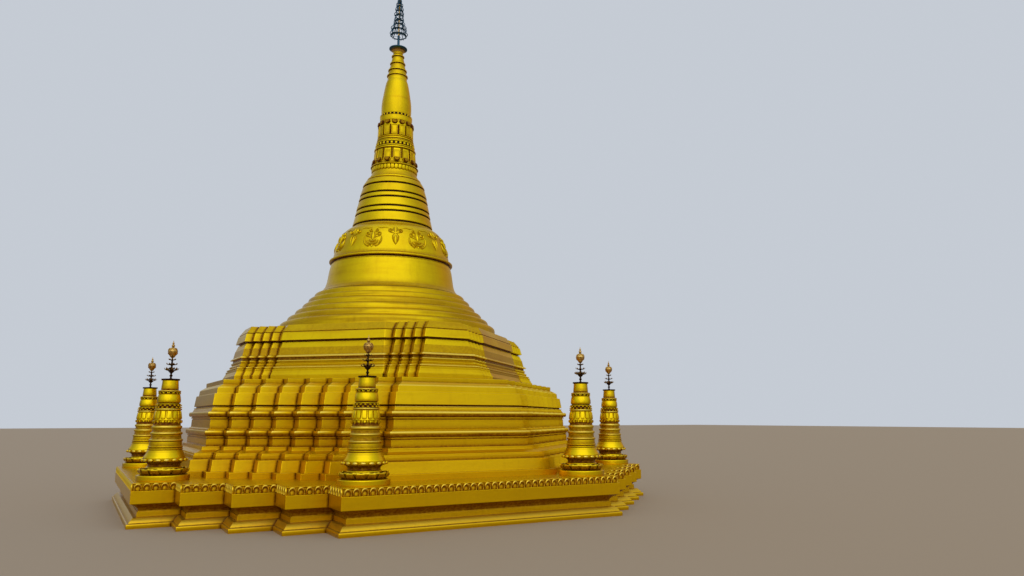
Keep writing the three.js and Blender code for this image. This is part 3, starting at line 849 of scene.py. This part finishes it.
skirt_lobe = boss(turned_over(arch_outline(0.09, 0.135, shoulder=0.62)), LOBE)
long_petal = boss(turned_over(arch_outline(0.188, 0.345, shoulder=0.82)), RAISED)
petal_tip = boss(turned_over(arch_outline(0.138, 0.104, shoulder=0.3)), CURLED_TIP)
bead = boss(box_outline(0.056, 0.062), [(1.0, -0.01, 0.3), (0.95, 0.02, 0.0), (0.6, 0.028, 0.0)])
tall_petal = boss(box_outline(0.152, 0.27), RAISED)
crown_tip = boss(arch_outline(0.046, 0.062, shoulder=0.2), PILLOW)
# The ground between the petals and under the skirt is darkened with painted shade, into black painted shadow
# behind the beads and under the crown of tips.
new_piece("LotusBandLower", [
    turned(LOTUS_LOWER, SPIRE_SIDES, dirt_shade_and_highlight_marks=[(7.607, 7.7, 0.6), (7.701, 7.709, 1.3), (7.87, 8.13, 0.8)]),
    ring(skirt_lobe, 38, 0.538, 7.712, lean=4, first=SKIRT_TURN),
    ring(long_petal, LONG_PETALS, 0.46, 8.128, lean=-5, first=LOWER_TURN),
    ring(petal_tip, LONG_PETALS, 0.5, 7.88, lean=-12, first=LOWER_TURN)], gold_relief, "lotus_band_lower")
new_piece("BeadBand", [
    turned(BEADS, SPIRE_SIDES, dirt_shade_and_highlight_marks=[
        (8.174, 8.194, 1.0), (8.222, 8.304, 1.8), (8.334, 8.343, 1.2), (8.365, 8.387, 1.0)]),
    ring(bead, 28, 0.444, 8.264, first=BEAD_TURN)], gold_relief, "bead_band")
new_piece("LotusBandUpper", [
    turned(LOTUS_UPPER, SPIRE_SIDES, dirt_shade_and_highlight_marks=[(8.475, 8.75, 1.0), (8.8, 8.872, 0.3), (9.008, 9.069, 1.9)]),
    ring(tall_petal, LONG_PETALS, 0.398, 8.615, lean=-1, first=UPPER_TURN),
    ring(petal_tip, LONG_PETALS, 0.395, 8.856, lean=-4, first=UPPER_TURN),
    ring(crown_tip, 26, 0.37, 9.002, lean=-3)], gold_relief, "lotus_band_upper")


# Bud. A smooth plastered bud that narrows upwards, with four overhanging rings and a hollow
# neck above it, all turned and painted gold.
BUD = [
    (0.352, 9.05, 0), (0.358, 9.1, 0.03), (0.363, 9.22, 0.05), (0.362, 9.33, 0.05),
    (0.351, 9.45, 0.06), (0.313, 9.697, 0.08), (0.27, 9.93, 0.06), (0.238, 10.01, 0)]
BUD_RINGS = [(0.256, 10.11), (0.23, 10.258), (0.19, 10.443), (0.158, 10.638)]
RING_UNDERCUT = 0.016
RING_OVERHANG = 0.022

rings_section = [(0.238, 10.01, 0)]
for radius, height in BUD_RINGS:
    inner = radius - RING_OVERHANG
    rings_section += [(inner, height - RING_UNDERCUT, 0.004), (inner, height - 0.002, 0.003),
                      (radius, height, 0.003), (radius, height + 0.024, 0.006),
                      (radius - 0.024, height + 0.034, 0.01)]
rings_section += [(0.116, 10.715, 0.03), (0.126, 10.758, 0)]
# Near-black painted shadow under each ring's overhang.
ring_underside_shadows = [(height - RING_UNDERCUT - 0.002, height - 0.001, 1.4) for _, height in BUD_RINGS]
new_piece("Bud", [turned(BUD, SPIRE_SIDES)], gold_paint, "bud")
new_piece("BudRings", [turned(rings_section, SPIRE_SIDES, dirt_shade_and_highlight_marks=ring_underside_shadows)], gold_paint, "bud_rings")


# Metal dish. A flared dish of gilt sheet bronze that caps the masonry and sheds the rain, with
# a dark rim. The umbrella's stem stands in its middle.
DISH = [
    (0.126, 10.758, 0), (0.13, 10.768, 0.004), (0.14, 10.784, 0.01), (0.16, 10.804, 0.02),
    (0.192, 10.836, 0.01), (0.192, 10.86, 0.004), (0.12, 10.896, 0.03), (0.05, 10.93, 0.02),
    (0.03, 10.958, 0.004), (0.024, 10.96, 0)]
DISH_RIM = [
    (0.18, 10.826, 0), (0.186, 10.828, 0.003), (0.222, 10.852, 0.006), (0.223, 10.874, 0.008),
    (0.206, 10.882, 0.01), (0.15, 10.886, 0.01), (0.14, 10.88, 0)]
gilt_bronze = finish_of("Rubbed gilding on bronze", (
    (0.86, 0.58, 0.16, 1.0), (0.5, 0.26, 0.05, 1.0), (0.62, 0.36, 0.09, 1.0), (0.1, 0.045, 0.012, 1.0),
    (0.6, 0.5, 0.3, 1.0)), 0.34, 0.15, hollow_dirt_and_shade=0.9)
umbrella_metal = finish_of("Umbrella metal", (
    (0.05, 0.12, 0.18, 1.0), (0.015, 0.05, 0.09, 1.0), (0.04, 0.06, 0.09, 1.0), (0.02, 0.02, 0.02, 1.0),
    (0.4, 0.5, 0.6, 1.0)), 0.38, 0.1, hollow_dirt_and_shade=0.5, streaks=0.4)
new_piece("MetalDish", [turned(DISH, 64, longest=0.03, dirt_shade_and_highlight_marks=[(10.8, 10.83, 0.9)])],
          gilt_bronze, "crown_dish", slot="bronze")
new_piece("MetalDishRim", [turned(DISH_RIM, 64, longest=0.03)], umbrella_metal, slot="bronze")


# Umbrella. Openwork of dark metal round a gilt stem: eight hoops joined by ribs that bow
# outwards, with small leaves hung from each hoop and a pointed finial on top.
UMBRELLA_RIMS = [
    (0.204, 11.265), (0.184, 11.41), (0.136, 11.55), (0.112, 11.668), (0.11, 11.8), (0.092, 11.93),
    (0.076, 12.058), (0.045, 12.166)]
LAST_RIB_TOP = (0.034, 12.29)
RIM_DEPTH = 0.06
HOOP_SHARE = 0.84
HOOP_WALL = 0.012
RIB_WIDTH = 0.02
SPOKE_WIDTH = 0.008
RIBS_PER_METRE = 52
LEAVES_PER_METRE = 64
STEM = [(0.03, 10.945, 0), (0.03, 11.225, 0.003), (0.012, 11.23, 0)]
TIP = [
    (0.012, 12.19, 0), (0.022, 12.2, 0.004), (0.034, 12.23, 0.006), (0.034, 12.25, 0.006),
    (0.016, 12.268, 0.006), (0.006, 12.33, 0)]
GILT_STEM = [(0.015, 11.222, 0), (0.022, 11.23, 0.006), (0.016, 11.3, 0.02), (0.015, 12.195, 0)]


def oval(width, height, points=8):
    """Anticlockwise outline of an oval about its middle."""
    return [(width / 2 * cos(2 * pi * k / points), height / 2 * sin(2 * pi * k / points))
            for k in range(points)]


def rib(corners, width):
    """A rod in the plane that faces -Y, through its (out, up, easing) corners."""
    points = [Vector((0, -out, up)) for out, up in eased(corners)]
    sizes = [width] * len(points)
    return strand(points, [Vector((1, 0, 0))] * len(points), sizes, sizes, section=oval(1.0, 1.0, 5))


hung_leaf = boss([(0.014, 0.0), (0.0, 0.01), (-0.014, 0.0), (0.0, -0.034)],
                 [(1.0, -0.004, 0.0), (0.8, 0.004, 0.0), (0.3, 0.006, 0.0)])
umbrella = [turned(STEM, 16, longest=0.2), turned(TIP, 16)]
for i, (radius, height) in enumerate(UMBRELLA_RIMS):
    foot = height - RIM_DEPTH
    hoop = radius * HOOP_SHARE
    above, above_height = [*UMBRELLA_RIMS, LAST_RIB_TOP][i + 1]
    band = 0.036 if i == 0 else 0.027
    flare = hoop + band * 0.6
    umbrella.append(turned([(hoop - HOOP_WALL, foot, 0), (hoop, foot, 0), (flare, foot + band, 0),
                            (flare - HOOP_WALL, foot + band, 0)], 40, hoop=True))
    side_rib = rib([(hoop, foot + 0.004, 0), (radius * 1.1, height - 0.02, 0.045),
                    (radius, height + 0.035, 0.045),
                    (above * HOOP_SHARE, above_height - RIM_DEPTH + 0.008, 0)], RIB_WIDTH)
    spoke = rib([(HOOP_WALL, foot + 0.008, 0), (hoop, foot + 0.008, 0)], SPOKE_WIDTH)
    for part, count, out, up, first in [
            (side_rib, max(7, round(radius * RIBS_PER_METRE)), 0, 0, 0.2 * i),
            (spoke, 3, 0, 0, 0.2 * i),
            (hung_leaf, max(8, round(radius * LEAVES_PER_METRE)), hoop - 0.006, foot - 0.002, 0.0)]:
        umbrella.append(ring(part, count, out, up, first=first, material=umbrella_metal))
new_piece("Umbrella", umbrella, umbrella_metal, "umbrella", slot="umbrella_steel")
new_piece("UmbrellaStem", [turned(GILT_STEM, 16, longest=0.2)], gilt_bronze, slot="bronze")


# Small stupas. Eight of them stand on the deck, two to each arm of the platform. Each is cast
# and turned plaster painted gold, with a ruffle of petals at its foot and a worn gilt finial.
DECK_TOP = 0.72
SMALL_ALONG = 2.112
SMALL_OUT = 4.776
SMALL_BODY = [
    (0.42, 0.0, 0), (0.424, 0.012, 0.006), (0.424, 0.092, 0.014), (0.385, 0.102, 0.01),
    (0.33, 0.108, 0.01), (0.286, 0.15, 0.03), (0.262, 0.178, 0.01), (0.284, 0.192, 0.012),
    (0.286, 0.222, 0.016), (0.262, 0.236, 0.008), (0.256, 0.272, 0.02), (0.296, 0.305, 0.02),
    (0.33, 0.325, 0.008), (0.336, 0.345, 0.01), (0.336, 0.385, 0.01), (0.326, 0.405, 0.01),
    (0.304, 0.44, 0.04), (0.276, 0.505, 0.02), (0.268, 0.514, 0.004), (0.281, 0.519, 0.006),
    (0.281, 0.537, 0.006), (0.266, 0.543, 0.004), (0.266, 0.553, 0.003), (0.277, 0.558, 0.004),
    (0.277, 0.574, 0.004), (0.263, 0.58, 0.003), (0.258, 0.645, 0.01), (0.258, 0.658, 0.004),
    (0.27, 0.663, 0.005), (0.27, 0.687, 0.006), (0.246, 0.696, 0.006), (0.238, 0.736, 0.03),
    (0.242, 0.77, 0.006), (0.257, 0.776, 0.006), (0.257, 0.804, 0.008), (0.234, 0.814, 0.006),
    (0.224, 0.84, 0.02), (0.227, 0.868, 0.006), (0.242, 0.874, 0.007), (0.242, 0.912, 0.01),
    (0.218, 0.922, 0.006), (0.212, 0.97, 0.01), (0.216, 0.982, 0.006), (0.216, 1.02, 0.01),
    (0.202, 1.09, 0.02), (0.192, 1.18, 0.006), (0.217, 1.188, 0.005), (0.217, 1.211, 0.006),
    (0.194, 1.217, 0.003), (0.19, 1.284, 0.003), (0.201, 1.287, 0.003), (0.195, 1.296, 0.004),
    (0.172, 1.299, 0.003), (0.172, 1.31, 0.003), (0.189, 1.318, 0.008), (0.191, 1.35, 0.02),
    (0.186, 1.4, 0.02), (0.172, 1.455, 0.012), (0.162, 1.466, 0.004), (0.16, 1.5, 0.004),
    (0.182, 1.505, 0.005), (0.182, 1.521, 0.006), (0.152, 1.53, 0.005), (0.136, 1.545, 0.004),
    (0.141, 1.553, 0.004), (0.128, 1.7, 0.004), (0.11, 1.702, 0)]
# Painted shade and shadow under the rings and lips of the small stupas, and pale painted highlights on their
# tops.
SMALL_SHADE_AND_HIGHLIGHTS = [
    (0.104, 0.168, 0.9), (0.236, 0.318, 1.0), (0.508, 0.517, 1.0), (0.541, 0.556, 1.0), (0.578, 0.6, 0.6),
    (0.65, 0.661, 1.1), (0.676, 0.695, -0.8), (0.696, 0.745, 0.7), (0.768, 0.775, 1.1),
    (0.79, 0.813, -0.9), (0.815, 0.845, 0.8), (0.866, 0.873, 1.1), (0.894, 0.921, -0.9),
    (0.923, 0.98, 1.0), (1.182, 1.187, 1.0), (1.19, 1.212, -0.7), (1.215, 1.285, 1.3),
    (1.298, 1.312, 1.5), (1.464, 1.503, 1.0), (1.506, 1.524, -0.5), (1.53, 1.548, 1.0)]
SMALL_FINIAL = [
    (0.12, 1.7, 0), (0.149, 1.701, 0.003), (0.151, 1.728, 0.004), (0.03, 1.734, 0.01),
    (0.015, 1.745, 0.01), (0.015, 1.764, 0.004), (0.027, 1.778, 0.008), (0.027, 1.792, 0.008),
    (0.014, 1.806, 0.006), (0.016, 1.824, 0.006), (0.052, 1.862, 0.01), (0.05, 1.88, 0.01),
    (0.02, 1.892, 0.008), (0.016, 1.96, 0.006), (0.036, 1.972, 0.006), (0.03, 1.984, 0.006),
    (0.016, 1.996, 0.006), (0.014, 2.046, 0.004), (0.026, 2.058, 0.006), (0.014, 2.072, 0.006),
    (0.011, 2.096, 0.006), (0.034, 2.13, 0.02), (0.076, 2.19, 0.02), (0.082, 2.216, 0.02),
    (0.048, 2.264, 0.02), (0.016, 2.286, 0.006), (0.028, 2.3, 0.01), (0.028, 2.32, 0.012),
    (0.012, 2.334, 0.006), (0.018, 2.348, 0.006), (0.018, 2.358, 0.006), (0.006, 2.374, 0.006),
    (0.003, 2.405, 0)]
LEAF_SECTION = [(-0.5, -0.4), (0.0, -1.0), (0.5, -0.4), (0.5, 0.4), (0.0, -0.1), (-0.5, 0.4)]


def leaf(spine, widths, thickness, shade_dirt_and_highlight):
    """A closed leaf that faces -Y: its (out, up) spine gives its curve, with a crease down it,
    and a mark for each point of the spine: above 0 dirt and painted shade, above 1 a black
    painted shadow, below 0 a pale painted highlight."""
    rings = []
    for i, ((out, up), width) in enumerate(zip(spine, widths)):
        ahead = Vector(spine[min(i + 1, len(spine) - 1)]) - Vector(spine[max(i - 1, 0)])
        ahead.normalize()
        rings.append([(width * x, -(out + ahead.y * thickness * depth), up - ahead.x * thickness * depth)
                      for x, depth in LEAF_SECTION])
    return lofted(np.array(rings), np.repeat(np.array(shade_dirt_and_highlight)[:, None], len(LEAF_SECTION), axis=1))


# The ruffle's leaves darken to painted shade at the root and have painted highlights at the tips; the blobs
# get highlights on top, and the tips, flutes, beads and scallops painted shade and shadow round their feet.
ruffle = leaf([(-0.06, 0.0), (-0.01, 0.018), (0.028, 0.05), (0.04, 0.082), (0.026, 0.1), (0.01, 0.096)],
              [0.1, 0.128, 0.136, 0.124, 0.09, 0.03], 0.014, (1.0, 0.9, 0.8, 0.5, -0.4, -1.0))
blob = boss(oval(0.1, 0.06), [(1.0, -0.03, 1.3), (1.0, 0.002, 0.9), (0.84, 0.024, -0.2), (0.4, 0.036, -0.9)])
hanging_tip = boss([(0.038, 0.02), (-0.038, 0.02), (-0.022, -0.018), (0.0, -0.042), (0.022, -0.018)],
                   [(1.0, -0.012, 1.6), (0.94, 0.01, 0.4), (0.5, 0.026, 0.0)])
flute = boss(turned_over(arch_outline(0.08, 0.16, shoulder=0.82)),
             [(1.0, -0.02, 0.8), (0.96, 0.004, 0.3), (0.8, 0.014, 0.0), (0.3, 0.018, 0.0)])
small_bead = boss(oval(0.052, 0.03, 6), [(1.0, -0.01, 1.0), (0.96, 0.008, 0.1), (0.55, 0.018, 0.0)])
scallop = boss(arch_outline(0.07, 0.04, shoulder=0.3),
               [(1.0, -0.01, 1.0), (1.0, 0.014, 0.0), (0.74, 0.018, 0.0), (0.58, 0.0, 1.8)])
small_gold = finish_of("Gold paint on small stupas", (
    GOLD_PALE, GOLD_DEEP, (0.9, 0.61, 0.001, 1.0), GOLD_DIRT_AND_SHADE, GOLD_EDGE),
    0.3, 0.2, hollow_dirt_and_shade=0.9, streaks=0.05)
small_body = [
    turned(SMALL_BODY, 56, longest=0.08, dirt_shade_and_highlight_marks=SMALL_SHADE_AND_HIGHLIGHTS),
    ring(ruffle, 14, 0.362, 0.098), ring(ruffle, 14, 0.342, 0.104, first=pi / 14),
    ring(blob, 17, 0.338, 0.345),
    ring(hanging_tip, 16, 0.214, 0.998, lean=-6), ring(flute, 14, 0.193, 1.184, lean=-8),
    ring(small_bead, 16, 0.194, 1.268), ring(small_bead, 16, 0.198, 1.234, first=pi / 16),
    ring(scallop, 15, 0.162, 1.462)]


def pointed_leaves(height, reach, size, first=0.0):
    """A ring of small leaves that stand out from the finial's stem with their tips turned up."""
    shape = leaf([(0.01, 0.0), (reach * 0.55, size * 0.1), (reach * 0.9, size * 0.35),
                  (reach, size * 0.8)],
                 [size * 0.5, size * 0.9, size * 0.8, size * 0.12], 0.006, (1.7, 1.3, 0.8, 0.5))
    return ring(shape, 8, 0, height, first=first, material=gilt_bronze)


scale_leaf = boss([(0.02, 0.016), (0.0, 0.022), (-0.02, 0.016), (0.0, -0.04)],
                  [(1.0, -0.01, 1.0), (0.9, 0.006, 0.0), (0.3, 0.012, 0.0)])
# The finial's stem and the roots of its leaves are darkened to near black.
small_finial = [
    turned(SMALL_FINIAL, 24, longest=0.08, dirt_shade_and_highlight_marks=[(1.695, 1.8, 1.7), (1.8, 2.08, 1.3)]),
    pointed_leaves(1.868, 0.118, 0.062), pointed_leaves(1.894, 0.09, 0.044, first=0.39),
    pointed_leaves(1.968, 0.092, 0.046, first=0.2), pointed_leaves(2.054, 0.062, 0.036),
    pointed_leaves(2.186, 0.086, 0.034, first=0.3),
    *(ring(scale_leaf, *place, material=gilt_bronze)
      for place in [(8, 0.066, 2.172, 34, 0.0), (6, 0.034, 2.13, 30, 0.4), (7, 0.056, 2.254, -42, 0.2)])]


def moved(parts, place):
    """Mesh parts moved to their place."""
    return [(points + np.array(place), faces, hollow) for points, faces, hollow in parts]


number = 0
for out_x, out_y in [(0, -1), (1, 0), (0, 1), (-1, 0)]:
    for side in (-1, 1):
        number += 1
        spot = (out_x * SMALL_OUT - out_y * side * SMALL_ALONG,
                out_y * SMALL_OUT + out_x * side * SMALL_ALONG, DECK_TOP)
        new_piece(f"SmallStupa{number}", moved(small_body, spot), small_gold, f"small_stupa_{number}")
        new_piece(f"SmallFinial{number}", moved(small_finial, spot), gilt_bronze, f"small_finial_{number}",
                  slot="bronze")


# Studio. A plain floor, a soft sky that is brightest overhead and on the camera's side, and one
# very broad light from there. The camera itself sees an even backdrop instead of the sky.
FLOOR_SIZE = 300.0
LIGHT_SIDE = (-0.36, -0.933, 0.0)
PALE_SIDE = (0.1, 0.995, 0.0)
WARM_SIDE = (0.85, 0.53, 0.0)
HAZE_FRONT = (0.385, 0.32, 0.25, 1.0)
HAZE_BACK = (0.1, 0.1, 0.11, 1.0)
SKY_FRONT = (0.78, 0.86, 0.9, 1.0)
SKY_SIDE = (0.32, 0.36, 0.41, 1.0)
SKY_BACK = (0.62, 0.67, 0.76, 1.0)
SKY_WARM = (0.6, 0.47, 0.3, 1.0)
SKY_TOP = (0.74, 0.8, 0.84, 1.0)
BACKDROP = (0.56, 0.6, 0.66, 1.0)
floor_mesh = bpy.data.meshes.new("Floor")
floor_mesh.from_pydata([(x, y, 0) for x, y in box_outline(FLOOR_SIZE, FLOOR_SIZE)], [], [(0, 1, 2, 3)])
floor_finish = bpy.data.materials.new("Pale floor")
floor_finish.use_nodes = True
floor_shader = floor_finish.node_tree.nodes["Principled BSDF"]
floor_shader.inputs["Base Color"].default_value = (0.37, 0.28, 0.2, 1.0)
floor_shader.inputs["Roughness"].default_value = 0.9
floor_mesh.materials.append(floor_finish)
new_object("Floor", floor_mesh)

world = bpy.data.worlds.new("Sky")
world.use_nodes = True
sky = world.node_tree
direction = add_node(sky, "ShaderNodeTexCoord").outputs["Generated"]
upward = add_node(sky, "ShaderNodeSeparateXYZ", [(0, direction)]).outputs["Z"]


def share_towards(side, least, most):
    """How far the sky lies towards one side, from 0 to 1 between two cosines of the angle to it."""
    facing = add_node(sky, "ShaderNodeVectorMath", [(0, direction), (1, side)], operation="DOT_PRODUCT")
    return ramp(sky, facing.outputs["Value"], least, most, kind="SMOOTHSTEP")


front = share_towards(LIGHT_SIDE, -0.35, 0.75)
beside = blend(sky, share_towards(PALE_SIDE, 0.45, 0.85), SKY_SIDE, SKY_BACK)
beside = blend(sky, share_towards(WARM_SIDE, 0.45, 0.9), beside, SKY_WARM)
haze = blend(sky, front, HAZE_BACK, HAZE_FRONT)
above_haze = blend(sky, front, beside, SKY_FRONT)
vault = blend(sky, ramp(sky, upward, -0.05, 0.28, kind="SMOOTHSTEP"), haze, above_haze)
vault = blend(sky, ramp(sky, upward, 0.7, 0.95, kind="SMOOTHSTEP"), vault, SKY_TOP)
seen = blend(sky, add_node(sky, "ShaderNodeLightPath").outputs["Is Camera Ray"], vault, BACKDROP)
sky.links.new(seen, sky.nodes["Background"].inputs["Color"])
bpy.context.scene.world = world
bpy.context.scene.view_settings.view_transform = "Standard"

sun = bpy.data.lights.new("Key", "SUN")
sun.energy = 0.5
sun.angle = radians(70)
sun.color = (1.0, 0.97, 0.9)
new_object("Key", sun).rotation_euler = (radians(52), 0.0, radians(-24))
